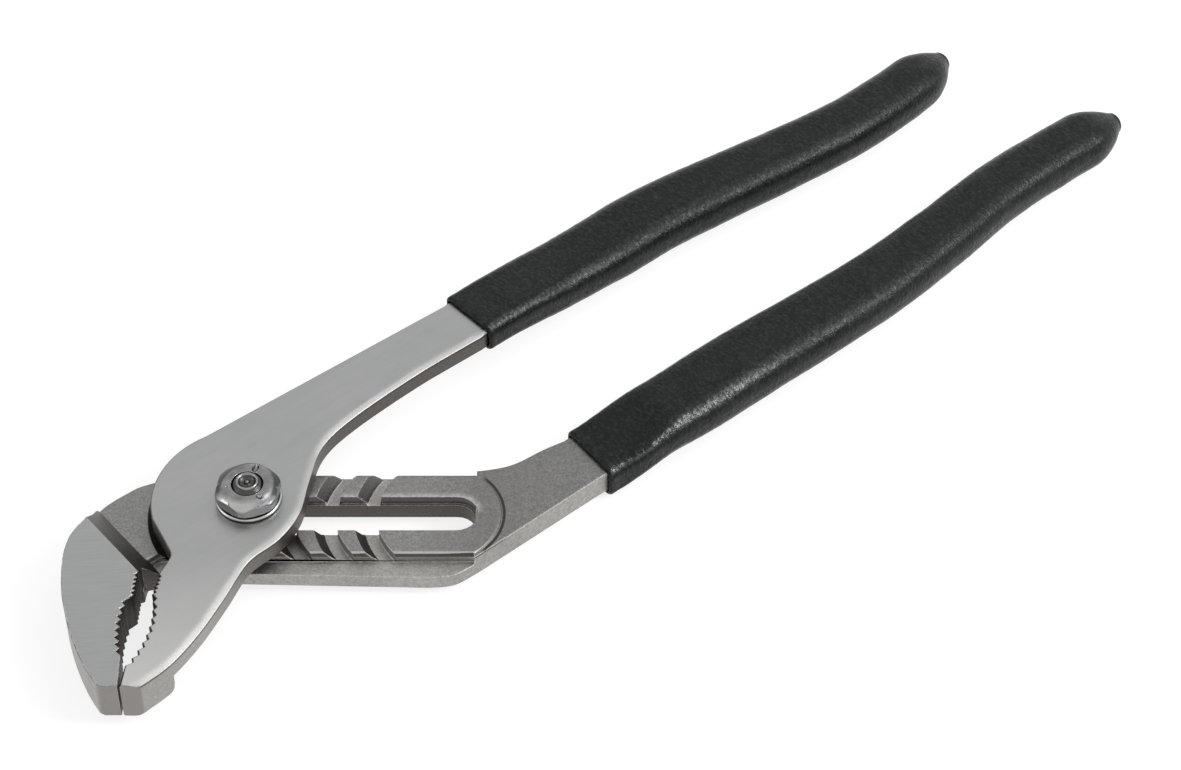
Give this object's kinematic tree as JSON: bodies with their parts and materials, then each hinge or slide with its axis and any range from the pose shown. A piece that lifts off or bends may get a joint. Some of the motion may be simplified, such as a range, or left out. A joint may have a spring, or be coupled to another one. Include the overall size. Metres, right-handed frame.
{
  "type": "water pump pliers",
  "caption": "Slip-joint water pump pliers with toothed jaws, a slotted lower lever with arc grooves, a nut and bolt pivot and black dipped grips",
  "frame": {"origin": "centre of the bolt head's outer face, on the bolt's axis", "axes": "+X along the slot from the jaws towards the handles, +Y from the jaws' noses towards the handle ends, +Z along the bolt from its head to its nut"},
  "size_m": [0.2588, 0.2158, 0.0203],
  "materials": {
    "brushed_steel": "brushed",
    "blasted_steel": "blasted and ground",
    "plated_steel": "plated",
    "bright_washer_steel": "bright plated",
    "nut_steel": "plated",
    "upper_grip_black": "dipped, satin",
    "lower_grip_black": "dipped, satin"
  },
  "bodies": {
    "lower": {"lower_lever": "blasted_steel", "lower_grip": "lower_grip_black"},
    "pivot": {"pivot_bolt": "plated_steel", "nut_washer": "bright_washer_steel", "pivot_nut": "nut_steel"},
    "upper": {"upper_lever": "brushed_steel", "upper_grip": "upper_grip_black"}
  },
  "joints": [
    {"name": "pivot_slide", "type": "slide", "parent": "lower", "child": "pivot", "axis": [1, 0, 0], "range_m": [0, 0.0384]},
    {"name": "jaw_hinge", "type": "hinge", "parent": "pivot", "child": "upper", "pos_m": [0, 0, 0], "axis": [0, 0, 1], "range_deg": [0, 55]}
  ]
}
